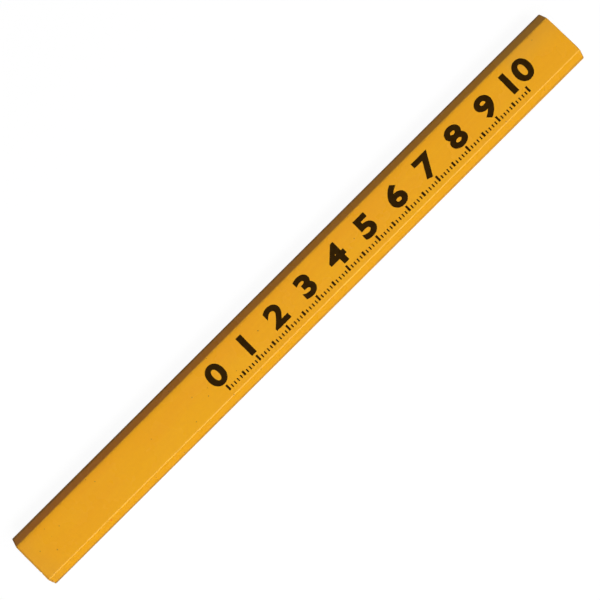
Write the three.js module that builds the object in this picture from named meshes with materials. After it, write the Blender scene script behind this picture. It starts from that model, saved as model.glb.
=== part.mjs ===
// A flat carpenter pencil, unsharpened: two grooved wooden slats glued round a flat graphite core,
// under a filler coat and a coat of yellow lacquer, with both ends sawn square.
//
// Units are millimetres. The pencil lies on a broad face: +X runs along it, +Y across it and +Z up.
// The origin is the middle of the broad face that it rests on.

import * as THREE from "three";

// Overall size
const LENGTH = 177.8; // seven inches, as sawn
const WIDTH = 15.0; // across the two narrow sides, over the lacquer
const THICKNESS = 7.0; // across the two broad faces, over the lacquer
const CHAMFER = 2.0; // each long corner is cut off at 45 degrees, this far along both faces
const FACE_RIDGE_RADIUS = 0.6; // rounding of the ridges beside the two broad faces, over the lacquer
const SIDE_RIDGE_RADIUS = 1.6; // rounding of the ridges beside the two narrow sides

// Coats on the wood
const LACQUER = 0.1;
const FILLER = 0.05;
const COATS = LACQUER + FILLER;

// Core and glue
const CORE_WIDTH = 5.0;
const CORE_THICKNESS = 2.0;
const CORE_CORNER = 0.25; // rounding of the core's long corners
const CORE_BOND = 0.05; // glue round the core
const GLUE_LINE = 0.1; // glue between the slats

const ARC_STEPS = 4; // ExtrudeGeometry draws twice this many facets on each arc
const EIGHTH_TURN = Math.PI / 4;

// The eight ridge arcs of the casing's outline, counter-clockwise from the right-hand side.
// inset is how far the outline lies under the lacquer's surface.
function ridgeArcs(inset) {
  const halfWidth = WIDTH / 2 - inset;
  const halfThickness = THICKNESS / 2 - inset;
  const chamfer = CHAMFER - inset * (2 - Math.SQRT2);
  const sideRadius = SIDE_RIDGE_RADIUS - inset;
  const faceRadius = FACE_RIDGE_RADIUS - inset;
  const tangent = Math.tan(EIGHTH_TURN / 2); // an arc's end to its ridge, per unit of radius
  const besideSide = [halfWidth - sideRadius, halfThickness - chamfer - sideRadius * tangent, sideRadius];
  const besideFace = [halfWidth - chamfer - faceRadius * tangent, halfThickness - faceRadius, faceRadius];
  const arcs = [];
  for (let ridge = 0; ridge < 8; ridge++) {
    const [x, y, radius] = ridge % 4 === 0 || ridge % 4 === 3 ? besideSide : besideFace;
    const alongX = ridge < 2 || ridge > 5 ? x : -x;
    const alongY = ridge < 4 ? y : -y;
    arcs.push([alongX, alongY, radius, ridge * EIGHTH_TURN, (ridge + 1) * EIGHTH_TURN]);
  }
  return arcs;
}

// Draws the casing's whole outline into a Shape or a Path.
function drawCasing(path, inset) {
  for (const [x, y, radius, from, to] of ridgeArcs(inset)) {
    path.absarc(x, y, radius, from, to, false);
  }
  path.closePath();
  return path;
}

// Draws the core's outline, grown by a margin, into a Shape or a Path.
function drawCore(path, margin) {
  const radius = CORE_CORNER + margin;
  const x = CORE_WIDTH / 2 + margin - radius;
  const y = CORE_THICKNESS / 2 + margin - radius;
  const corners = [[x, y], [-x, y], [-x, -y], [x, -y]];
  corners.forEach(([cornerX, cornerY], corner) => {
    const from = corner * 2 * EIGHTH_TURN;
    path.absarc(cornerX, cornerY, radius, from, from + 2 * EIGHTH_TURN, false);
  });
  path.closePath();
  return path;
}

// A prism of the pencil's full length with this cross-section, as a named mesh.
function fullLength(name, section, material) {
  const geometry = new THREE.ExtrudeGeometry(section, {
    depth: LENGTH,
    bevelEnabled: false,
    curveSegments: ARC_STEPS,
  });
  const mesh = new THREE.Mesh(geometry, material);
  mesh.name = name;
  mesh.position.z = -LENGTH / 2;
  return mesh;
}

// One coat: the skin between two insets, open at both sawn ends.
function coat(name, outerInset, innerInset, material) {
  const section = drawCasing(new THREE.Shape(), outerInset);
  section.holes.push(drawCasing(new THREE.Path(), innerInset));
  return fullLength(name, section, material);
}

// The upper wooden half: the casing's top half less the glue line, with a groove for half the core.
function slat(name, material) {
  const side = WIDTH / 2 - COATS;
  const joint = GLUE_LINE / 2;
  const radius = CORE_CORNER + CORE_BOND;
  const grooveSide = CORE_WIDTH / 2 + CORE_BOND;
  const grooveFloor = CORE_THICKNESS / 2 + CORE_BOND;
  const section = new THREE.Shape();
  section.moveTo(side, joint);
  for (const [x, y, ridgeRadius, from, to] of ridgeArcs(COATS).slice(0, 4)) {
    section.absarc(x, y, ridgeRadius, from, to, false);
  }
  section.lineTo(-side, joint);
  section.lineTo(-grooveSide, joint);
  section.absarc(radius - grooveSide, grooveFloor - radius, radius, Math.PI, Math.PI / 2, true);
  section.absarc(grooveSide - radius, grooveFloor - radius, radius, Math.PI / 2, 0, true);
  section.lineTo(grooveSide, joint);
  section.closePath();
  return fullLength(name, section, material);
}

// The lower half is the same slat, turned half a turn about the pencil's length.
function turnedSlat(name, material) {
  const mesh = slat(name, material);
  mesh.quaternion.set(0, 0, 1, 0);
  return mesh;
}

function core(name, material) {
  return fullLength(name, drawCore(new THREE.Shape(), 0), material);
}

// The sleeve of glue that holds the core in the two grooves.
function coreBond(name, material) {
  const section = drawCore(new THREE.Shape(), CORE_BOND);
  section.holes.push(drawCore(new THREE.Path(), 0));
  return fullLength(name, section, material);
}

// The film of glue between the slats on one side of the core: +1 is the +Y side, -1 the -Y side.
function glueStrip(name, direction, material) {
  const inner = (CORE_WIDTH / 2 + CORE_BOND) * direction;
  const outer = (WIDTH / 2 - COATS) * direction;
  const low = Math.min(inner, outer);
  const high = Math.max(inner, outer);
  const joint = GLUE_LINE / 2;
  const section = new THREE.Shape();
  section.moveTo(low, -joint);
  section.lineTo(high, -joint);
  section.lineTo(high, joint);
  section.lineTo(low, joint);
  section.closePath();
  return fullLength(name, section, material);
}

function finish(color, roughness, metalness = 0) {
  return new THREE.MeshStandardMaterial({ color, roughness, metalness });
}

const yellowLacquer = finish(0xe8a122, 0.3);
const paleFiller = finish(0xe9dcc0, 0.7);
const limeWood = finish(0xd2ab7c, 0.8);
const graphite = finish(0x3b3b40, 0.45, 0.2);
const driedGlue = finish(0xc9b184, 0.5);

const pencil = new THREE.Group();
pencil.add(
  coat("colour_lacquer", 0, LACQUER, yellowLacquer),
  coat("filler_coat", LACQUER, COATS, paleFiller),
  slat("upper_slat", limeWood),
  turnedSlat("lower_slat", limeWood),
  core("graphite_core", graphite),
  coreBond("core_bond", driedGlue),
  glueStrip("glue_strip_left", 1, driedGlue),
  glueStrip("glue_strip_right", -1, driedGlue),
);

// Sections are drawn in x and y and extruded along z. This turn takes those to Y, Z and X.
pencil.quaternion.set(0.5, 0.5, 0.5, 0.5);
pencil.position.z = THICKNESS / 2;

export default pencil;
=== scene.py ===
import math

import bmesh
import bpy
import numpy as np
from mathutils import Matrix, Vector, noise
from mathutils.geometry import delaunay_2d_cdt


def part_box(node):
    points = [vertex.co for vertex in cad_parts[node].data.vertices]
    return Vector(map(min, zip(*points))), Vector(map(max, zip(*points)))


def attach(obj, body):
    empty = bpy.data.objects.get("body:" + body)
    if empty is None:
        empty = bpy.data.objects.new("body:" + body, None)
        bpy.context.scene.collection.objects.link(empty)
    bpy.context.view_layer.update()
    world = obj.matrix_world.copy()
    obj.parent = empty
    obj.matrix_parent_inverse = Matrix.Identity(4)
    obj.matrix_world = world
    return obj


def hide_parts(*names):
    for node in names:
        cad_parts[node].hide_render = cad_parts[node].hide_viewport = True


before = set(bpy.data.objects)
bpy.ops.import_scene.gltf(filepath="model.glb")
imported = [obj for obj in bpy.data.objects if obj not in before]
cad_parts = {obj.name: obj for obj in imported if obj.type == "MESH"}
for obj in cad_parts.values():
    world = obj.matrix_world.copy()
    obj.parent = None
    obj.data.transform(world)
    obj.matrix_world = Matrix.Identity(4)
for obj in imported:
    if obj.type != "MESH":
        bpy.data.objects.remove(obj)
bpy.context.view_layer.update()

MM = 0.001
SAME_POINT = 1e-7  # points closer than this are one point

# ---------------------------------------------------------------------------------------------
# Sizes, from the CAD frame
# ---------------------------------------------------------------------------------------------

LOW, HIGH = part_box("colour_lacquer")
LENGTH, WIDTH, THICKNESS = HIGH - LOW
HALF_LENGTH = LENGTH / 2
MIDDLE_Z = (LOW.z + HIGH.z) / 2
FACE_Z = HIGH.z

LACQUER = HIGH.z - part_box("filler_coat")[1].z  # thickness of the colour coat
COATS = HIGH.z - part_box("upper_slat")[1].z  # thickness of the colour coat and the filler
CORE_HALF_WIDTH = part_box("graphite_core")[1].y
CORE_HALF_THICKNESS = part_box("graphite_core")[1].z - MIDDLE_Z
BOND_HALF_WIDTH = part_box("core_bond")[1].y
CORE_BOND = BOND_HALF_WIDTH - CORE_HALF_WIDTH  # thickness of the glue round the core
GLUE_HALF_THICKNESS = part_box("upper_slat")[0].z - MIDDLE_Z

# The boxes don't hold these four, so they repeat the CAD model's values.
CHAMFER = 2.0 * MM  # each long corner is cut off at 45 degrees, this far along both faces
FACE_RIDGE_RADIUS = 0.6 * MM  # the ridges beside the two broad faces
SIDE_RIDGE_RADIUS = 1.6 * MM  # the ridges beside the two narrow sides
CORE_CORNER = 0.25 * MM

FACE_HALF_WIDTH = WIDTH / 2 - CHAMFER  # from a broad face's middle to its ridges
SIDE_HALF_HEIGHT = THICKNESS / 2 - CHAMFER  # from a narrow side's middle to its ridges
EIGHTH_TURN = math.pi / 4

# ---------------------------------------------------------------------------------------------
# Camera
# ---------------------------------------------------------------------------------------------

CAMERA_HEIGHT = 265 * MM  # over the printed face
CAMERA_AIM = (0.09 * MM, -0.60 * MM)  # the point of the printed face that it looks straight down on
CAMERA_TURN = math.radians(-44.886)
LENS_MM = 67.2
SENSOR_MM = 36.0
NEAREST_SEEN = 0.01
FARTHEST_SEEN = 50


def make_camera():
    """Looks straight down, turned so that the pencil runs from the lower left to the upper right."""
    data = bpy.data.cameras.new("camera")
    data.lens = LENS_MM
    data.sensor_width = SENSOR_MM
    data.clip_start = NEAREST_SEEN
    data.clip_end = FARTHEST_SEEN
    camera = bpy.data.objects.new("camera", data)
    camera.location = (*CAMERA_AIM, FACE_Z + CAMERA_HEIGHT)
    camera.rotation_euler = (0, 0, CAMERA_TURN)
    bpy.context.scene.collection.objects.link(camera)
    bpy.context.scene.camera = camera


# ---------------------------------------------------------------------------------------------
# Node helpers
# ---------------------------------------------------------------------------------------------


def add(tree, kind, inputs=None, **settings):
    """Adds a shader node. An input given as a socket is linked, and any other value is set."""
    made = tree.nodes.new("ShaderNode" + kind)
    for name, value in settings.items():
        setattr(made, name, value)
    for name, value in (inputs or {}).items():
        if isinstance(value, bpy.types.NodeSocket):
            tree.links.new(value, made.inputs[name])
        else:
            made.inputs[name].default_value = value
    return made


def calculate(tree, operation, first, second=0.0, third=0.0):
    """One Math node, as a socket."""
    return add(tree, "Math", {0: first, 1: second, 2: third}, operation=operation).outputs[0]


def ramp(tree, value, start, end, low=0.0, high=1.0):
    """A smooth rise from low to high while the value goes from start to end, as a socket."""
    inputs = {"Value": value, "From Min": start, "From Max": end, "To Min": low, "To Max": high}
    return add(tree, "MapRange", inputs, interpolation_type="SMOOTHSTEP").outputs["Result"]


def mix_colours(tree, share, first, second):
    """The first colour with a share of the second one, as a socket."""
    made = add(tree, "Mix", data_type="RGBA")
    for index, value in ((0, share), (6, first), (7, second)):
        if isinstance(value, bpy.types.NodeSocket):
            tree.links.new(value, made.inputs[index])
        else:
            made.inputs[index].default_value = value
    return made.outputs[2]


def millimetres(tree, stretch=(1, 1, 1)):
    """The place on the pencil in millimetres, each axis multiplied by its stretch, as a socket."""
    place = add(tree, "TexCoord").outputs["Object"]
    scale = tuple(factor / MM for factor in stretch)
    return add(tree, "VectorMath", {0: place, 1: scale}, operation="MULTIPLY").outputs[0]


def clouds(tree, place, per_mm, detail):
    """Smooth noise from 0 to 1 with this many waves per millimetre and this many finer layers, as a
    socket."""
    return add(tree, "TexNoise", {"Vector": place, "Scale": per_mm, "Detail": detail}).outputs["Fac"]


def new_material(name):
    """An empty node material: the material and its tree."""
    material = bpy.data.materials.new(name)
    material.use_nodes = True
    tree = material.node_tree
    tree.nodes.clear()
    return material, tree


def put_shader(tree, colour, roughness, normal, same_all_over=None):
    """The Principled shader and the output. What is the same all over is set on its own socket."""
    inputs = {"Base Color": colour, "Roughness": roughness, "Normal": normal}
    shader = add(tree, "BsdfPrincipled", {**inputs, **(same_all_over or {})})
    output = add(tree, "OutputMaterial")
    tree.links.new(shader.outputs[0], output.inputs["Surface"])


def relief(tree, height, depth, normal=None):
    """A bump whose height from 0 to 1 stands for this depth in metres, as a socket."""
    inputs = {"Height": height, "Distance": depth, "Strength": 1.0}
    if normal is not None:
        inputs["Normal"] = normal
    return add(tree, "Bump", inputs).outputs["Normal"]


# ---------------------------------------------------------------------------------------------
# Stage and light
# ---------------------------------------------------------------------------------------------

WHITE = (1, 1, 1, 1)
FLOOR_DROP = 0.05 * MM  # keeps the floor clear of the face that rests on it
FLOOR_RADIUS = 3.0
FLOOR_SIDES = 96
FLOOR_SEEN = (0.06, 0.06, 0.06, 1)  # what the floor scatters to the camera, over its own glow
FLOOR_BOUNCE = (0.40, 0.40, 0.40, 1)  # what it scatters to the pencil
FLOOR_GLOW = 0.95
BACKDROP_SEEN = 0.90  # how bright the backdrop looks to the camera
BACKDROP_LIGHT = 0.02  # how brightly it lights the pencil from the horizon
CEILING_LIGHT = 0.24  # what it adds to that from straight overhead
CEILING_FALLOFF = 4.0  # how fast that addition fades away from overhead
LIGHT_DISTANCE = 0.55
END_LIGHT_PLACE = (0.51, -0.30, 0.30)  # of the light at the +X end


def make_floor():
    """A plain pale floor. Its glow is for the camera alone, so it throws little light on the pencil."""
    mesh = bmesh.new()
    bmesh.ops.create_circle(mesh, cap_ends=True, radius=FLOOR_RADIUS, segments=FLOOR_SIDES)
    data = bpy.data.meshes.new("floor")
    mesh.to_mesh(data)
    mesh.free()
    floor = bpy.data.objects.new("floor", data)
    floor.location.z = LOW.z - FLOOR_DROP
    bpy.context.scene.collection.objects.link(floor)

    material, tree = new_material("pale_floor")
    seen = add(tree, "LightPath").outputs["Is Camera Ray"]
    inputs = {
        "Base Color": mix_colours(tree, seen, FLOOR_BOUNCE, FLOOR_SEEN),
        "Roughness": 0.9,
        "Specular IOR Level": 0.0,
        "Emission Color": WHITE,
        "Emission Strength": calculate(tree, "MULTIPLY", seen, FLOOR_GLOW),
    }
    shader = add(tree, "BsdfPrincipled", inputs)
    tree.links.new(shader.outputs[0], add(tree, "OutputMaterial").inputs["Surface"])
    data.materials.append(material)


def make_backdrop():
    """A pale world that the camera sees, and that lights the pencil faintly, most from overhead."""
    world = bpy.data.worlds.new("backdrop")
    bpy.context.scene.world = world
    world.use_nodes = True
    tree = world.node_tree
    tree.nodes.clear()
    height = add(tree, "SeparateXYZ", {0: add(tree, "TexCoord").outputs["Generated"]}).outputs["Z"]
    overhead = calculate(tree, "POWER", calculate(tree, "MAXIMUM", height, 0.0), CEILING_FALLOFF)
    light = calculate(tree, "MULTIPLY_ADD", overhead, CEILING_LIGHT, BACKDROP_LIGHT)
    seen = add(tree, "LightPath").outputs["Is Camera Ray"]
    strength = ramp(tree, seen, 0, 1, light, BACKDROP_SEEN)
    background = add(tree, "Background", {"Color": WHITE, "Strength": strength})
    output = add(tree, "OutputWorld")
    tree.links.new(background.outputs[0], output.inputs["Surface"])


def softbox(name, place, aim, size, power):
    """A rectangular area light at a place, facing a point. Its size is in metres, its power in watts."""
    data = bpy.data.lights.new(name, "AREA")
    data.shape = "RECTANGLE"
    data.size, data.size_y = size
    data.energy = power
    light = bpy.data.objects.new(name, data)
    light.location = place
    light.rotation_euler = (Vector(aim) - Vector(place)).to_track_quat("-Z", "Y").to_euler()
    bpy.context.scene.collection.objects.link(light)


def long_softbox(name, side, elevation, size, power):
    """A softbox along the pencil at this elevation in degrees, on the +Y side (1) or the -Y side (-1)."""
    angle = math.radians(elevation)
    place = (0, side * LIGHT_DISTANCE * math.cos(angle), LIGHT_DISTANCE * math.sin(angle))
    softbox(name, place, (0, 0, MIDDLE_Z), size, power)


def make_lights():
    """The key from the -Y side, a faint low light on the +Y side, and a faint one towards each end."""
    long_softbox("key", side=-1, elevation=56, size=(0.66, 0.22), power=3.91)
    long_softbox("side_bounce", side=1, elevation=7, size=(1.00, 0.10), power=0.30)
    along, across, height = END_LIGHT_PLACE
    for end in (1, -1):
        place = (end * along, across, height)
        sawn_end = (end * HALF_LENGTH, 0, MIDDLE_Z)
        softbox("end_light", place, sawn_end, size=(0.40, 0.25), power=0.33)


# ---------------------------------------------------------------------------------------------
# Shape of the casing
# ---------------------------------------------------------------------------------------------

RING_SPACING = 0.18 * MM  # between points round the section, where a face is flat
STATION_SPACING = 1.0 * MM  # between sections along the pencil
ARC_STEPS = 6
LIP_STEPS_MM = (0.0, 0.03, 0.08, 0.16, 0.3, 0.6, 1.2, 2.0)  # sections close to a sawn end
END_BLEND = 3.0 * MM  # the sections take up an uneven saw cut within this length


def ridge_arcs():
    """Centre (y, z), radius and start angle of the casing's eight rounded ridges, counter-clockwise
    from +Y as seen from +X."""
    tangent = math.tan(EIGHTH_TURN / 2)  # an arc's end to its ridge, per unit of radius
    side_z = SIDE_HALF_HEIGHT - SIDE_RIDGE_RADIUS * tangent
    face_y = FACE_HALF_WIDTH - FACE_RIDGE_RADIUS * tangent
    beside_side = (WIDTH / 2 - SIDE_RIDGE_RADIUS, side_z, SIDE_RIDGE_RADIUS)
    beside_face = (face_y, THICKNESS / 2 - FACE_RIDGE_RADIUS, FACE_RIDGE_RADIUS)
    arcs = []
    for ridge in range(8):
        y, z, radius = beside_side if ridge % 4 in (0, 3) else beside_face
        y = y if ridge in (0, 1, 6, 7) else -y
        z = z if ridge < 4 else -z
        arcs.append((y, MIDDLE_Z + z, radius, ridge * EIGHTH_TURN))
    return arcs


def casing_outline(spacing=RING_SPACING):
    """Points and outward normals round the casing's section, as two arrays of (y, z)."""
    points, normals = [], []
    arcs = ridge_arcs()
    for ridge, (y, z, radius, start) in enumerate(arcs):
        for step in range(ARC_STEPS + 1):
            angle = start + EIGHTH_TURN * step / ARC_STEPS
            normal = (math.cos(angle), math.sin(angle))
            points.append((y + radius * normal[0], z + radius * normal[1]))
            normals.append(normal)
        next_y, next_z, next_radius, _ = arcs[(ridge + 1) % 8]
        first = np.array(points[-1])
        last = np.array((next_y, next_z)) + next_radius * np.array(normals[-1])
        steps = max(1, round(float(np.linalg.norm(last - first)) / spacing))
        for step in range(1, steps):
            points.append(tuple(first + (last - first) * step / steps))
            normals.append(normals[-1])
    return np.array(points), np.array(normals)


def smooth_step(value, start, end):
    """0 before start, 1 after end, and a smooth rise between them."""
    share = min(1.0, max(0.0, (value - start) / (end - start)))
    return share * share * (3 - 2 * share)


CUT_SKEW = 0.11 * MM  # both upper ridges lie this far towards -Y at the -X end, and +Y at the +X end
DEEP_CUT = 0.045 * MM  # how much deeper the upper +Y chamfer is cut at the ends than at the middle
SHOULDER_WIDTH = 2.2 * MM  # how far from the upper +Y ridge the printed face starts to round off
SHOULDER_DROP = 0.115 * MM  # how low it lies at that ridge
SIDE_BLEND = (-0.4 * MM, 0.5 * MM)  # the cut fades in over this height above a chamfer's outer edge
FACE_BLEND = (-0.9 * MM, -0.3 * MM)  # and its skew over this distance past the printed face's edge


def milled(x, y, z):
    """Where the cutter left a point of the casing. It ran a little askew along the upper chamfers, cut
    the +Y one deeper towards the ends, and rounded off the face beside that one."""
    past_face = abs(y) - FACE_HALF_WIDTH
    past_side = z - MIDDLE_Z - SIDE_HALF_HEIGHT
    share = smooth_step(past_side, *SIDE_BLEND)
    along = x / HALF_LENGTH
    shift = CUT_SKEW * along
    drop = 0.0
    if y > 0:
        shift -= DEEP_CUT * along**2
        drop = SHOULDER_DROP * max(0.0, 1 + min(past_face, 0.0) / SHOULDER_WIDTH) ** 3
    beside_ridge = smooth_step(past_face, *FACE_BLEND)
    return (x, y + shift * beside_ridge * share, z - drop * share)


def core_outline(margin):
    """Points round the core's section grown by a margin, as an array of (y, z)."""
    radius = CORE_CORNER + margin
    y = CORE_HALF_WIDTH + margin - radius
    z = CORE_HALF_THICKNESS + margin - radius
    points = []
    for corner, (across, up) in enumerate(((y, z), (-y, z), (-y, -z), (y, -z))):
        for step in range(ARC_STEPS + 1):
            angle = (corner + step / ARC_STEPS) * math.pi / 2
            point = (across + radius * math.cos(angle), MIDDLE_Z + up + radius * math.sin(angle))
            points.append(point)
    return np.array(points)


# ---------------------------------------------------------------------------------------------
# The sawn ends
# ---------------------------------------------------------------------------------------------

RIGHT_END_SKEW = 0.028  # slope by which the saw cut the +X end short towards +Y
EASED_RIM = 0.03 * MM  # sanding takes this much off the rim of an end
EASED_DEPTH = 0.30 * MM  # and reaches this far in from the rim
SAW_SWAY = 0.010 * MM  # height of the slow waves that the blade left
SAW_SWAY_SIZE = 4.0 * MM
SAW_SWAY_ROW = 7  # where in the noise the two ends' waves are taken, on either side of 0
SAW_MARK = 0.008 * MM  # height of the marks of its teeth
SAW_PITCH = 0.75 * MM
SAW_SLANT = {1: 0.12, -1: -0.20}  # slope of those marks at the +X end and the -X end


def depth_under_surface(y, z):
    """How deep a point of the section lies under the casing's flats, leaving out the ridges' rounding."""
    across = abs(y)
    up = abs(z - MIDDLE_Z)
    to_side = WIDTH / 2 - across
    to_face = THICKNESS / 2 - up
    to_chamfer = (WIDTH / 2 + SIDE_HALF_HEIGHT - across - up) / math.sqrt(2)
    return max(0.0, min(to_side, to_face, to_chamfer))


def end_recess(y, z, end):
    """How far a sawn end lies inside the pencil's full length at (y, z). The end is 1 or -1."""
    sway = 1 + noise.noise(Vector((y / SAW_SWAY_SIZE, z / SAW_SWAY_SIZE, SAW_SWAY_ROW * end)))
    mark = 1 + math.sin(2 * math.pi * (z + SAW_SLANT[end] * y) / SAW_PITCH)
    rim = max(0.0, 1 - depth_under_surface(y, z) / EASED_DEPTH) ** 2
    skew = RIGHT_END_SKEW * max(0.0, y + WIDTH / 4) if end > 0 else 0.0
    return skew + SAW_SWAY * sway + SAW_MARK * mark + EASED_RIM * rim


def on_end(y, z, end, proud):
    """The point of a sawn end at (y, z), standing proud of it by a distance."""
    return milled(end * (HALF_LENGTH - end_recess(y, z, end) + proud), y, z)


# ---------------------------------------------------------------------------------------------
# Making pieces
# ---------------------------------------------------------------------------------------------


def add_piece(data, material, slot, *stands_for, smooth_below=30):
    """Finishes a mesh and makes it a piece of the pencil, in place of the CAD nodes it stands for.
    Edges that turn by fewer degrees than smooth_below are shaded smooth."""
    data.shade_smooth()
    data.set_sharp_from_angle(angle=math.radians(smooth_below))
    data.materials.append(material)
    piece = bpy.data.objects.new(data.name, data)
    bpy.context.scene.collection.objects.link(piece)
    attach(piece, "root")
    if stands_for:
        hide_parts(*stands_for)


def loft(name, rings):
    """A closed skin through rings of equal size, the last joined to the first."""
    count = len(rings[0])
    vertices = [tuple(point) for ring in rings for point in ring]
    faces = []
    for number in range(len(rings)):
        here = number * count
        there = (number + 1) % len(rings) * count
        for index in range(count):
            after = (index + 1) % count
            faces.append((here + index, here + after, there + after, there + index))
    data = bpy.data.meshes.new(name)
    data.from_pydata(vertices, [], faces)
    mesh = bmesh.new()
    mesh.from_mesh(data)
    bmesh.ops.recalc_face_normals(mesh, faces=mesh.faces)
    mesh.to_mesh(data)
    mesh.free()
    return data


def cut_across(mesh, axis, low, high, spacing):
    """Cuts every face of a mesh with evenly spaced planes square to an axis."""
    count = max(1, round((high - low) / spacing))
    normal = Vector((0, 0, 0))
    normal[axis] = 1
    for step in range(1, count):
        place = normal * (low + (high - low) * step / count)
        everything = mesh.verts[:] + mesh.edges[:] + mesh.faces[:]
        bmesh.ops.bisect_plane(mesh, geom=everything, plane_co=place, plane_no=normal, dist=SAME_POINT)


def sawn_prism(name, outline, grid, proud=0.0):
    """A solid of this (y, z) outline along the whole pencil. Its sawn ends are cut into a grid that
    carries the saw marks."""
    mesh = bmesh.new()
    ring = [mesh.verts.new((-HALF_LENGTH, y, z)) for y, z in outline]
    cap = mesh.faces.new(ring)
    grown = bmesh.ops.extrude_face_region(mesh, geom=[cap])["geom"]
    far = [item for item in grown if isinstance(item, bmesh.types.BMVert)]
    bmesh.ops.translate(mesh, verts=far, vec=(LENGTH, 0, 0))
    bmesh.ops.recalc_face_normals(mesh, faces=mesh.faces)
    caps = [face for face in mesh.faces if len(face.verts) > 4]
    bmesh.ops.triangulate(mesh, faces=caps)
    for axis in (1, 2):
        places = [vertex.co[axis] for vertex in mesh.verts]
        cut_across(mesh, axis, min(places), max(places), grid)
    for vertex in mesh.verts:
        _, y, z = vertex.co
        end = 1 if vertex.co.x > 0 else -1
        vertex.co = on_end(y, z, end, proud)
    data = bpy.data.meshes.new(name)
    mesh.to_mesh(data)
    mesh.free()
    return data


# ---------------------------------------------------------------------------------------------
# Lacquer and filler
# ---------------------------------------------------------------------------------------------

WAVE_HEIGHT = 0.006 * MM  # slow waves from milling
WAVE_SIZE = (26 * MM, 5 * MM)  # along and across the pencil
GRAIN_HEIGHT = 0.0015 * MM  # long lines where the grain shows through
GRAIN_SIZE = (14 * MM, 0.8 * MM)
GRAIN_SHIFT = 31  # takes the grain's noise from another place than the waves'
LIP_DROP = 0.04 * MM  # how far the lacquer draws back at a sawn end
LIP_LENGTH = 0.16 * MM
CHIP_DEPTH = 0.9 * MM
CHIP_RARITY = 0.42  # the lacquer is chipped where a noise from -1 to 1 is over this
CHIP_SPREAD = 0.31  # how far that noise moves on for each point of the outline
CHIP_ROW = 19.7  # where in the noise the two ends' rows of chips are taken, on either side of 0
OUTER_EDGE_WIDTH = 0.85 * MM  # the part of a chamfer beside its outer edge that is painted darker as shade
FILLER_SUNK = 0.01 * MM


def surface_relief(x, y, z):
    """How far the lacquer stands off its nominal surface."""
    along, across = WAVE_SIZE
    waves = noise.noise(Vector((x / along, y / across, z / across)))
    along, across = GRAIN_SIZE
    grain = noise.noise(Vector((x / along, y / across, z / across + GRAIN_SHIFT)))
    return WAVE_HEIGHT * waves + GRAIN_HEIGHT * grain


def face_height(x, y):
    """The height of the lacquer on the printed face."""
    return milled(x, y, FACE_Z)[2] + surface_relief(x, y, FACE_Z)


def stations():
    """Signed distances of the lacquer's sections from its middle, close together at the sawn ends."""
    lips = [step * MM for step in LIP_STEPS_MM]
    inner = HALF_LENGTH - END_BLEND
    count = round(2 * inner / STATION_SPACING)
    between = [-inner + 2 * inner * step / count for step in range(count + 1)]
    return [-HALF_LENGTH + lip for lip in lips] + between + [HALF_LENGTH - lip for lip in lips[::-1]]


def chip(index, end):
    """How far the lacquer has flaked back from a sawn end at this point of its outline."""
    flake = noise.noise(Vector((index * CHIP_SPREAD, CHIP_ROW * end, 0.5)))
    return CHIP_DEPTH * max(0.0, flake - CHIP_RARITY)


def lacquer_ring(station, points, normals):
    """One ring of the lacquer's outer surface."""
    end = 1 if station > 0 else -1
    from_end = HALF_LENGTH - abs(station)
    share = max(0.0, 1 - from_end / END_BLEND)
    eased = LIP_DROP * max(0.0, 1 - from_end / LIP_LENGTH) ** 2
    ring = []
    for index, ((y, z), (across, up)) in enumerate(zip(points, normals)):
        shift = surface_relief(station, y, z) - eased
        cut_back = (end_recess(y, z, end) + chip(index, end)) * share
        ring.append(milled(station - end * cut_back, y + across * shift, z + up * shift))
    return ring


def mark_section(data, points, normals):
    """Stores on each vertex how near its place in the section is, from 0 to 1, to the middle of a ridge
    beside a broad face, of a chamfer and of a chamfer's outer edge. The tilt is in eighths of a turn:
    0 on a narrow side, 1 on a chamfer and 2 on a broad face."""
    tilt = np.arctan2(np.abs(normals[:, 1]), np.abs(normals[:, 0])) / EIGHTH_TURN
    face_ridge = 1 - 2 * np.abs(tilt - 1.5)
    chamfer = 1 - 2 * np.abs(tilt - 1)
    to_side = np.abs(points[:, 0]) - WIDTH / 2
    to_edge = np.abs(points[:, 1] - MIDDLE_Z) - SIDE_HALF_HEIGHT
    outer_edge = (1 - np.hypot(to_side, to_edge) / OUTER_EDGE_WIDTH) * np.minimum(2 * tilt, 1)
    rings = len(data.vertices) // len(normals)
    for name, share in (("face_ridge", face_ridge), ("chamfer", chamfer), ("outer_edge", outer_edge)):
        stored = data.attributes.new(name, "FLOAT", "POINT")
        stored.data.foreach_set("value", np.tile(np.clip(share, 0, 1), rings).astype(np.float32))


def make_lacquer(material):
    outer, normals = casing_outline()
    inner = outer - normals * LACQUER
    rings = [lacquer_ring(station, outer, normals) for station in stations()]
    for end in (1, -1):
        rings.append([on_end(y, z, end, -chip(index, end)) for index, (y, z) in enumerate(inner)])
    data = loft("lacquer_coat", rings)
    mark_section(data, outer, normals)
    add_piece(data, material, "lacquer", "colour_lacquer", smooth_below=40)


def make_sleeve(name, outer, inner, material, slot, node, proud=0.0):
    """A thin sleeve between two outlines with as many points, open at both sawn ends."""
    rings = []
    for outline, end in ((inner, -1), (outer, -1), (outer, 1), (inner, 1)):
        rings.append([on_end(y, z, end, proud) for y, z in outline])
    add_piece(loft(name, rings), material, slot, node)


def make_filler(material):
    surface, normals = casing_outline()
    outer = surface - normals * LACQUER
    inner = surface - normals * COATS
    make_sleeve("filler_skin", outer, inner, material, "filler", "filler_coat", -FILLER_SUNK)


# ---------------------------------------------------------------------------------------------
# Slats, core and glue
# ---------------------------------------------------------------------------------------------

END_GRID = 0.3 * MM  # of the faces on the sawn ends of the wood and the glue
CORE_GRID = 0.2 * MM
SLAT_SPACING = 0.6 * MM  # between points round a slat's outline
CORE_SUNK = 0.03 * MM  # the brittle core breaks out a little below the wood
GLUE_PROUD = 0.01 * MM


def bearing(point):
    """The angle at which a point of the section is seen from the pencil's axis."""
    return math.atan2(point[1] - MIDDLE_Z, point[0])


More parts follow.
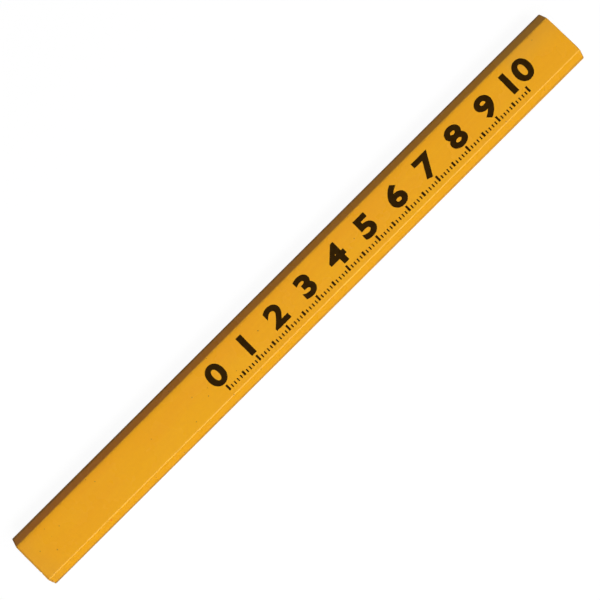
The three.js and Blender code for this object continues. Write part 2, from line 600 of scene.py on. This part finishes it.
def slat_outline(side):
    """The outline of the upper slat (side 1) or the lower slat (side -1), with its groove."""
    surface, normals = casing_outline(SLAT_SPACING)
    wood = surface - normals * COATS
    joint = MIDDLE_Z + GLUE_HALF_THICKNESS
    above = sorted((tuple(point) for point in wood if point[1] > joint + GLUE_HALF_THICKNESS), key=bearing)
    groove = sorted((tuple(point) for point in core_outline(CORE_BOND) if point[1] > joint), key=bearing)
    edge = WIDTH / 2 - COATS
    outline = [(edge, joint)] + above + [(-edge, joint), (-BOND_HALF_WIDTH, joint)]
    outline += groove[::-1] + [(BOND_HALF_WIDTH, joint)]
    return [(y, MIDDLE_Z + side * (z - MIDDLE_Z)) for y, z in outline]


def make_slats(upper_material, lower_material):
    upper = sawn_prism("upper_casing", slat_outline(1), END_GRID)
    add_piece(upper, upper_material, "casing_wood", "upper_slat")
    lower = sawn_prism("lower_casing", slat_outline(-1), END_GRID)
    add_piece(lower, lower_material, "casing_wood", "lower_slat")


def make_core(material):
    core = sawn_prism("writing_core", core_outline(0), CORE_GRID, -CORE_SUNK)
    add_piece(core, material, "graphite", "graphite_core")


def make_glue(material):
    outer = core_outline(CORE_BOND)
    make_sleeve("core_glue", outer, core_outline(0), material, "glue", "core_bond")
    for name, node in (("joint_glue_left", "glue_strip_left"), ("joint_glue_right", "glue_strip_right")):
        low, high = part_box(node)
        outline = [(low.y, low.z), (high.y, low.z), (high.y, high.z), (low.y, high.z)]
        strip = sawn_prism(name, outline, END_GRID, GLUE_PROUD)
        add_piece(strip, material, "glue", node)


# ---------------------------------------------------------------------------------------------
# Printed scale
# ---------------------------------------------------------------------------------------------

SCALE_START = -26.5 * MM  # where along the pencil the scale reads 0
SCALE_CENTIMETRES = 10
TICK_FOOT = -4.1 * MM
TICK_LENGTHS = {10: 1.6 * MM, 5: 1.25 * MM, 1: 0.9 * MM}  # by how many millimetres apart they are
TICK_WIDTH = 0.34 * MM
LONG_TICK_WIDTH = 0.55 * MM
NUMERAL_FOOT = -2.0 * MM
NUMERAL_HEIGHT = 6.0 * MM
NUMERAL_STRETCH = 1.3  # how much wider than the plain font
NUMERAL_BOLDNESS = 0.34 * MM  # how far the plain font's outline is moved out
DIGIT_SHARE = 0.73  # a digit's height as a share of the font's size
CURVE_STEPS = 6  # straight pieces in each curve of the font
LEAST_PATCH = 1e-6 * MM**2  # twice the area under which a polygon counts as a line
UNION_TOLERANCE = 1e-8
INK_PROUD = 0.015 * MM  # how far the ink stands over the lacquer
INK_SUNK = 0.010 * MM  # how far its underside lies below it, so that no gap shows


def add_bar(mesh, x, foot, width, length):
    """Adds a bar of ink, centred on x and reaching from its foot towards +Y. Like add_numeral, it makes
    a slab that lie_on_face then brings to the face."""
    box = bmesh.ops.create_cube(mesh, size=1)["verts"]
    bmesh.ops.scale(mesh, verts=box, vec=(width, length, 1))
    bmesh.ops.translate(mesh, verts=box, vec=(x, foot + length / 2, 0))


def lie_on_face(mesh):
    """Brings the top of a print to just over the printed face and its underside to just below it."""
    for vertex in mesh.verts:
        x, y, z = vertex.co
        stand = INK_PROUD if z > 0 else -INK_SUNK
        vertex.co.z = face_height(x, y) + stand


def make_ticks(material):
    mesh = bmesh.new()
    for millimetre in range(SCALE_CENTIMETRES * 10 + 1):
        step = next(step for step in TICK_LENGTHS if millimetre % step == 0)
        width = TICK_WIDTH if step == 1 else LONG_TICK_WIDTH
        add_bar(mesh, SCALE_START + millimetre * MM, TICK_FOOT, width, TICK_LENGTHS[step])
    lie_on_face(mesh)
    data = bpy.data.meshes.new("scale_ticks")
    mesh.to_mesh(data)
    mesh.free()
    add_piece(data, material, "ink")


def plain_numeral(number):
    """A numeral of the built-in font as a flat mesh, centred on x = 0 and standing on y = 0."""
    curve = bpy.data.curves.new("numeral", "FONT")
    curve.body = str(number)
    curve.size = (NUMERAL_HEIGHT - 2 * NUMERAL_BOLDNESS) / DIGIT_SHARE
    curve.align_x = "CENTER"
    curve.resolution_u = CURVE_STEPS
    text = bpy.data.objects.new("numeral", curve)
    bpy.context.scene.collection.objects.link(text)
    data = bpy.data.meshes.new_from_object(text.evaluated_get(bpy.context.evaluated_depsgraph_get()))
    bpy.data.objects.remove(text)
    bpy.data.curves.remove(curve)
    data.transform(Matrix.Diagonal((NUMERAL_STRETCH, 1, 1, 1)))
    mesh = bmesh.new()
    mesh.from_mesh(data)
    bpy.data.meshes.remove(data)
    bmesh.ops.remove_doubles(mesh, verts=mesh.verts, dist=SAME_POINT)
    return mesh


def outward_normals(mesh):
    """The outline of a flat mesh: each edge's two vertices and the direction out of the mesh there."""
    outline = []
    for edge in mesh.edges:
        if len(edge.link_faces) == 1:
            first, second = edge.verts
            along = second.co.xy - first.co.xy
            normal = Vector((along.y, -along.x)).normalized()
            if normal.dot(first.co.xy - edge.link_faces[0].calc_center_median().xy) < 0:
                normal.negate()
            outline.append((first, second, normal))
    return outline


def grown_patches(mesh, distance):
    """Polygons that together cover a flat mesh with its outline moved out by a distance: its own faces,
    a strip along each edge of the outline and a kite on each corner that points outwards."""
    patches = [[vertex.co.xy for vertex in face.verts] for face in mesh.faces]
    sides = {}
    for first, second, normal in outward_normals(mesh):
        step = normal * distance
        patches.append([first.co.xy, second.co.xy, second.co.xy + step, first.co.xy + step])
        for corner, other in ((first, second), (second, first)):
            sides.setdefault(corner, []).append((normal, other.co.xy - corner.co.xy))
    for corner, ((normal, _), (next_normal, next_along)) in sides.items():
        if normal.dot(next_along) < 0:
            tip = (normal + next_normal) / (1 + normal.dot(next_normal)) * distance
            start = corner.co.xy
            patches.append([start, start + normal * distance, start + tip, start + next_normal * distance])
    return patches


def merged(patches):
    """The area that overlapping polygons cover, as points and triangles without overlaps."""
    points, faces = [], []
    for patch in patches:
        doubled_area = sum(a.cross(b) for a, b in zip(patch, patch[1:] + patch[:1]))
        if abs(doubled_area) > LEAST_PATCH:
            faces.append(list(range(len(points), len(points) + len(patch))))
            points += patch if doubled_area > 0 else patch[::-1]
    points, _, triangles, _, _, parents = delaunay_2d_cdt(points, [], faces, 0, UNION_TOLERANCE)
    return points, [triangle for triangle, parent in zip(triangles, parents) if parent]


def add_numeral(mesh, number, x):
    """Adds a bold numeral, centred on x, as a closed slab."""
    plain = plain_numeral(number)
    points, triangles = merged(grown_patches(plain, NUMERAL_BOLDNESS))
    plain.free()
    foot = NUMERAL_FOOT + NUMERAL_BOLDNESS
    corners = [mesh.verts.new((x + point.x, foot + point.y, -0.5)) for point in points]
    faces = [mesh.faces.new([corners[index] for index in triangle]) for triangle in triangles]
    raised = bmesh.ops.extrude_face_region(mesh, geom=faces, use_keep_orig=True)["geom"]
    top = [item for item in raised if isinstance(item, bmesh.types.BMVert)]
    bmesh.ops.translate(mesh, verts=top, vec=(0, 0, 1))


def make_numerals(material):
    mesh = bmesh.new()
    for number in range(SCALE_CENTIMETRES + 1):
        add_numeral(mesh, number, SCALE_START + number * 10 * MM)
    stray = [vertex for vertex in mesh.verts if not vertex.link_faces]
    bmesh.ops.delete(mesh, geom=stray, context="VERTS")
    bmesh.ops.recalc_face_normals(mesh, faces=mesh.faces)
    lie_on_face(mesh)
    data = bpy.data.meshes.new("scale_numerals")
    mesh.to_mesh(data)
    mesh.free()
    add_piece(data, material, "ink")


# ---------------------------------------------------------------------------------------------
# Materials. Lengths in them are in millimetres, and colours are linear red, green, blue and alpha.
# ---------------------------------------------------------------------------------------------

HALF_LENGTH_MM = HALF_LENGTH / MM

YELLOW = (0.790, 0.370, 0.0095, 1)
ORANGE = (0.782, 0.336, 0.0110, 1)
PALE_YELLOW = (0.800, 0.372, 0.0130, 1)
DEEP_YELLOW = (0.670, 0.270, 0.0200, 1)
# Painted shade: the chamfers' colours, deeper than the faces' on the -Y side and brown on the +Y side.
CHAMFER_SHADE_YELLOW = (0.708, 0.316, 0.0070, 1)
SHADE_RED_BROWN = (0.630, 0.213, 0.0152, 1)
SHADE_OLIVE_BROWN = (0.598, 0.250, 0.0152, 1)

# A darker yellow for the lacquer near the ends.
END_DARK_YELLOW = (0.500, 0.260, 0.0350, 1)
# A paler yellow painted along the ridges beside the broad faces as a highlight.
HIGHLIGHT_YELLOW = (0.860, 0.570, 0.0550, 1)
# A dark brown painted along the chamfers' outer edges as shade.
EDGE_SHADE_BROWN = (0.100, 0.045, 0.0150, 1)
# A darker brown for the rims beside the sawn ends.
END_RIM_BROWN = (0.300, 0.140, 0.0250, 1)
DUST = (0.240, 0.110, 0.0200, 1)
FLECK_RED = (0.750, 0.080, 0.0200, 1)
FLECK_PLACE = (-68.4, -6.0, THICKNESS / MM - 0.5)
FLECK_RADIUS = 0.30

INK_FULL = (0.0245, 0.0105, 0.0003, 1)
INK_THIN = (0.0290, 0.0125, 0.0005, 1)
FILLER_SHADES = ((0.62, 0.52, 0.36, 1), (0.85, 0.76, 0.58, 1))
GLUE_SHADES = ((0.26, 0.16, 0.06, 1), (0.46, 0.33, 0.16, 1))

EARLY_WOOD = (0.76, 0.56, 0.34, 1)
LATE_WOOD = (0.58, 0.38, 0.19, 1)
FIBRE_BROWN = (0.40, 0.23, 0.10, 1)
PORE_BROWN = (0.20, 0.11, 0.05, 1)
RINGS_PER_MM = 0.85
UPPER_PITH = (-38, 60)  # where the tree's middle was, seen from the slat's section
LOWER_PITH = (22, -95)

GRAPHITE_SMEAR = (0.11, 0.10, 0.10, 1)
GRAPHITE_SHADES = ((0.030, 0.030, 0.035, 1), (0.085, 0.086, 0.095, 1))
GRAPHITE_GLINT = (0.16, 0.16, 0.17, 1)


def attribute(tree, name):
    """A number stored on the vertices, as a socket."""
    return add(tree, "Attribute", attribute_name=name).outputs["Fac"]


def specks(tree, place, spacing, share, radius):
    """Small ragged spots, 1 inside and 0 outside, as a socket. The share of the cells that hold one
    and the spots' radius can be sockets."""
    ragged = add(tree, "TexNoise", {"Vector": place, "Scale": 4.0, "Detail": 1.0}).outputs["Color"]
    warped = add(tree, "VectorMath", {0: ragged, 1: (0.25,) * 3, 2: place}, operation="MULTIPLY_ADD")
    cells = add(tree, "TexVoronoi", {"Vector": warped.outputs[0], "Scale": 1 / spacing})
    chance = add(tree, "SeparateColor", {0: cells.outputs["Color"]}).outputs[0]
    gap = calculate(tree, "MULTIPLY", cells.outputs["Distance"], spacing)
    inside = ramp(tree, gap, calculate(tree, "MULTIPLY", radius, 0.5), radius, 1.0, 0.0)
    return calculate(tree, "MULTIPLY", inside, calculate(tree, "LESS_THAN", chance, share))


def spot(tree, place, centre, radius):
    """One soft round spot, 1 inside and 0 outside, as a socket."""
    gap = add(tree, "VectorMath", {0: place, 1: centre}, operation="DISTANCE").outputs[1]
    return ramp(tree, gap, 0.4 * radius, radius, 1.0, 0.0)


def face_colour(tree, place, across):
    """The lacquer's yellow: slow drifts, long streaks and a fine mottle, with painted shade that makes the
    face more orange towards +Y.
    """
    drift = clouds(tree, millimetres(tree, (0.3, 1, 1)), 0.16, 2)
    streaks = clouds(tree, millimetres(tree, (0.05, 1, 1)), 1.7, 3)
    mottle = clouds(tree, place, 1.4, 2)
    # Painted shade: the face is made more orange towards its +Y side.
    toward_shaded_side = ramp(tree, across, 4.5, -4.5, 0.0, 0.5)
    yellowness = calculate(tree, "MULTIPLY_ADD", ramp(tree, drift, 0.35, 0.65), 0.5, toward_shaded_side)
    colour = mix_colours(tree, yellowness, ORANGE, YELLOW)
    colour = mix_colours(tree, ramp(tree, streaks, 0.45, 0.75, 0.0, 0.6), colour, PALE_YELLOW)
    return mix_colours(tree, ramp(tree, mottle, 0.3, 0.7, 0.0, 0.12), colour, DEEP_YELLOW)


def chamfer_colour(tree, along, across):
    """Painted shade on the chamfers: painted deeper than the faces' on the -Y side, and brown on the +Y
    side, redder towards -X, as their shade.
    """
    to_plus_x = ramp(tree, along, -HALF_LENGTH_MM, HALF_LENGTH_MM)
    brown = mix_colours(tree, to_plus_x, SHADE_RED_BROWN, SHADE_OLIVE_BROWN)
    return mix_colours(tree, ramp(tree, across, 0, 5), CHAMFER_SHADE_YELLOW, brown)


def end_grime(tree, along, across):
    """Where the lacquer is made darker and rougher near the ends: a patch on the +Y side of the +X end,
    and all across the -X end."""
    patch = calculate(tree, "MULTIPLY", ramp(tree, along, 71.5, 75.5), ramp(tree, across, -1.0, 4.5))
    return calculate(tree, "MAXIMUM", patch, ramp(tree, along, -81.5, -88.0, 0.0, 0.7))


def ridge_wear(tree):
    """Where a painted highlight lies along the ridges beside the broad faces, uneven along their length.
    """
    uneven = ramp(tree, clouds(tree, millimetres(tree, (0.3, 1, 1)), 1.1, 4), 0.5, 0.75, 0.5, 1.0)
    return calculate(tree, "MULTIPLY", attribute(tree, "face_ridge"), uneven)


def edge_dirt(tree, along, across):
    """Painted shade on the chamfers' outer edges, where they round off, most on the +Y side and at the -X
    end.
    """
    edge = ramp(tree, attribute(tree, "outer_edge"), 0, 0.6)
    edge = calculate(tree, "MULTIPLY", edge, ramp(tree, across, -5, 5, 0.77, 1.0))
    to_plus_x = ramp(tree, along, -HALF_LENGTH_MM, HALF_LENGTH_MM, 1.25, 0.9)
    return calculate(tree, "MULTIPLY", edge, to_plus_x)


def saw_dirt(tree, place, along):
    """A darker rim beside the sawn ends, wider at the -X end."""
    from_end = calculate(tree, "SUBTRACT", HALF_LENGTH_MM, calculate(tree, "ABSOLUTE", along))
    width = ramp(tree, along, -1, 1, 0.62, 0.34)
    rim = ramp(tree, from_end, calculate(tree, "MULTIPLY", width, 0.5), width, 1.0, 0.0)
    return calculate(tree, "MULTIPLY", rim, ramp(tree, clouds(tree, place, 1.3, 3), 0.2, 0.6, 0.5, 1.0))


def lacquer_material():
    """Glossy yellow lacquer, darker and rougher near the ends and at the rims of the sawn ends, with dust
    on it, painted shade on the chamfers and their outer edges, and a painted highlight along the ridges
    beside the broad faces.
    """
    material, tree = new_material("yellow_lacquer")
    place = millimetres(tree)
    along, across, _ = add(tree, "SeparateXYZ", {0: place}).outputs
    patchy = ramp(tree, clouds(tree, place, 0.3, 3), 0.3, 0.7, 0.7, 1.0)
    end_darkening = calculate(tree, "MULTIPLY", end_grime(tree, along, across), patchy)
    # Painted highlight along the ridges beside the broad faces, which are also made rougher.
    ridge_highlight = ridge_wear(tree)
    # Painted shade on the chamfers' outer edges.
    edge_shade = calculate(tree, "MULTIPLY", edge_dirt(tree, along, across), patchy)
    dusty = ramp(tree, along, -60, 30, 0.30, 0.05)
    dust = specks(tree, place, spacing=1.5, share=dusty, radius=0.20)

    face = face_colour(tree, place, across)
    # The chamfers take their painted shade colours.
    colour = mix_colours(tree, attribute(tree, "chamfer"), face, chamfer_colour(tree, along, across))
    # Tints over the lacquer: darker ends, the painted ridge highlight, the painted edge shade, darker sawn
    # rims, dust and a red fleck.
    for cover, strength, tint in (
        (end_darkening, 0.25, END_DARK_YELLOW),
        (ridge_highlight, 0.42, HIGHLIGHT_YELLOW),
        (edge_shade, 0.48, EDGE_SHADE_BROWN),
        (saw_dirt(tree, place, along), 0.48, END_RIM_BROWN),
        (dust, 0.75, DUST),
        (spot(tree, place, FLECK_PLACE, FLECK_RADIUS), 0.8, FLECK_RED),
    ):
        colour = mix_colours(tree, calculate(tree, "MULTIPLY", cover, strength), colour, tint)

    normal = relief(tree, clouds(tree, place, 0.45, 1), 0.003 * MM)
    normal = relief(tree, dust, 0.005 * MM, normal)
    smudge = ramp(tree, clouds(tree, place, 0.12, 3), 0.35, 0.7, 0.24, 0.30)
    rubbed = calculate(tree, "MULTIPLY_ADD", ridge_highlight, 0.22, smudge)
    roughness = calculate(tree, "MULTIPLY_ADD", end_darkening, 0.12, rubbed)
    put_shader(tree, colour, roughness, normal, {"Specular IOR Level": 0.22})
    return material


def ink_material():
    """Dark brown printing ink, nearly even, a little thin in places."""
    material, tree = new_material("brown_ink")
    place = millimetres(tree)
    cloud = clouds(tree, place, 0.8, 3)
    colour = mix_colours(tree, ramp(tree, cloud, 0.4, 0.75), INK_FULL, INK_THIN)
    normal = relief(tree, clouds(tree, place, 1.2, 2), 0.001 * MM)
    put_shader(tree, colour, ramp(tree, cloud, 0.3, 0.7, 0.26, 0.34), normal, {"Specular IOR Level": 0.06})
    return material


def filler_material():
    """Chalky cream filler, scraped by the saw."""
    material, tree = new_material("cream_filler")
    place = millimetres(tree)
    cloud = clouds(tree, place, 3, 3)
    normal = relief(tree, clouds(tree, place, 14, 2), 0.006 * MM)
    colour = mix_colours(tree, cloud, *FILLER_SHADES)
    put_shader(tree, colour, ramp(tree, cloud, 0.3, 0.7, 0.6, 0.8), normal)
    return material


def core_smear(tree):
    """How much graphite the saw has smeared on the wood round the core."""
    across, up = add(tree, "SeparateXYZ", {0: millimetres(tree)}).outputs[1:3]
    aside = calculate(tree, "ABSOLUTE", across)
    above = calculate(tree, "ABSOLUTE", calculate(tree, "SUBTRACT", up, MIDDLE_Z / MM))
    past_side = calculate(tree, "SUBTRACT", aside, CORE_HALF_WIDTH / MM)
    past_face = calculate(tree, "SUBTRACT", above, CORE_HALF_THICKNESS / MM)
    gap = calculate(tree, "MAXIMUM", past_side, past_face)
    ragged = clouds(tree, millimetres(tree, (1, 0.35, 2.5)), 1.6, 3)
    reach = calculate(tree, "MULTIPLY_ADD", ragged, -1.6, calculate(tree, "ADD", gap, 0.8))
    return ramp(tree, reach, 0.0, 1.3, 0.45, 0.0)


def growth_rings(tree, place, pith):
    """0 in early wood and 1 in late wood, round a pith at (y, z)."""
    sway = add(tree, "TexNoise", {"Vector": place, "Scale": 0.25, "Detail": 2.0}).outputs["Color"]
    warped = add(tree, "VectorMath", {0: sway, 1: (0, 1.6, 1.6), 2: place}, operation="MULTIPLY_ADD")
    centre = add(tree, "CombineXYZ", {1: pith[0], 2: pith[1]}).outputs[0]
    flat = add(tree, "VectorMath", {0: warped.outputs[0], 1: (0, 1, 1)}, operation="MULTIPLY")
    radius = add(tree, "VectorMath", {0: flat.outputs[0], 1: centre}, operation="DISTANCE").outputs[1]
    season = calculate(tree, "FRACT", calculate(tree, "MULTIPLY", radius, RINGS_PER_MM))
    return ramp(tree, season, 0.55, 0.97)


def wood_material(name, pith):
    """Lime wood: growth rings, fibres and fine pores, with graphite smeared round the core."""
    material, tree = new_material(name)
    place = millimetres(tree, (0.02, 1, 1))
    fibre = clouds(tree, millimetres(tree, (0.05, 1, 1)), 9, 3)
    pores = add(tree, "TexVoronoi", {"Vector": place, "Scale": 7.0}).outputs["Distance"]
    open_pore = ramp(tree, pores, 0.16, 0.28, 1.0, 0.0)
    colour = mix_colours(tree, growth_rings(tree, place, pith), EARLY_WOOD, LATE_WOOD)
    colour = mix_colours(tree, ramp(tree, fibre, 0.35, 0.75, 0.0, 0.45), colour, FIBRE_BROWN)
    colour = mix_colours(tree, calculate(tree, "MULTIPLY", open_pore, 0.5), colour, PORE_BROWN)
    colour = mix_colours(tree, core_smear(tree), colour, GRAPHITE_SMEAR)
    normal = relief(tree, calculate(tree, "SUBTRACT", fibre, open_pore), 0.012 * MM)
    put_shader(tree, colour, ramp(tree, fibre, 0.3, 0.7, 0.7, 0.9), normal, {"Specular IOR Level": 0.3})
    return material


def graphite_material():
    """Fired graphite and clay: dark, with a low metallic sheen and streaks along the saw cut."""
    material, tree = new_material("fired_graphite")
    streaks = clouds(tree, millimetres(tree, (1, 0.2, 3)), 3, 3)
    grain = clouds(tree, millimetres(tree), 12, 2)
    colour = mix_colours(tree, streaks, *GRAPHITE_SHADES)
    colour = mix_colours(tree, ramp(tree, grain, 0.5, 0.8, 0.0, 0.6), colour, GRAPHITE_GLINT)
    normal = relief(tree, calculate(tree, "ADD", streaks, grain), 0.006 * MM)
    put_shader(tree, colour, ramp(tree, streaks, 0.3, 0.7, 0.32, 0.5), normal, {"Metallic": 0.2})
    return material


def glue_material():
    """Dried glue, yellowed, with wood dust in it."""
    material, tree = new_material("dried_glue")
    cloud = clouds(tree, millimetres(tree), 5, 3)
    normal = relief(tree, cloud, 0.006 * MM)
    colour = mix_colours(tree, cloud, *GLUE_SHADES)
    put_shader(tree, colour, ramp(tree, cloud, 0.3, 0.7, 0.35, 0.6), normal)
    return material


# ---------------------------------------------------------------------------------------------
# The picture
# ---------------------------------------------------------------------------------------------

make_camera()
make_floor()
make_backdrop()
make_lights()

make_lacquer(lacquer_material())
make_filler(filler_material())
make_slats(wood_material("upper_wood", UPPER_PITH), wood_material("lower_wood", LOWER_PITH))
make_core(graphite_material())
make_glue(glue_material())
ink = ink_material()
make_ticks(ink)
make_numerals(ink)

bpy.context.scene.view_settings.view_transform = "Standard"
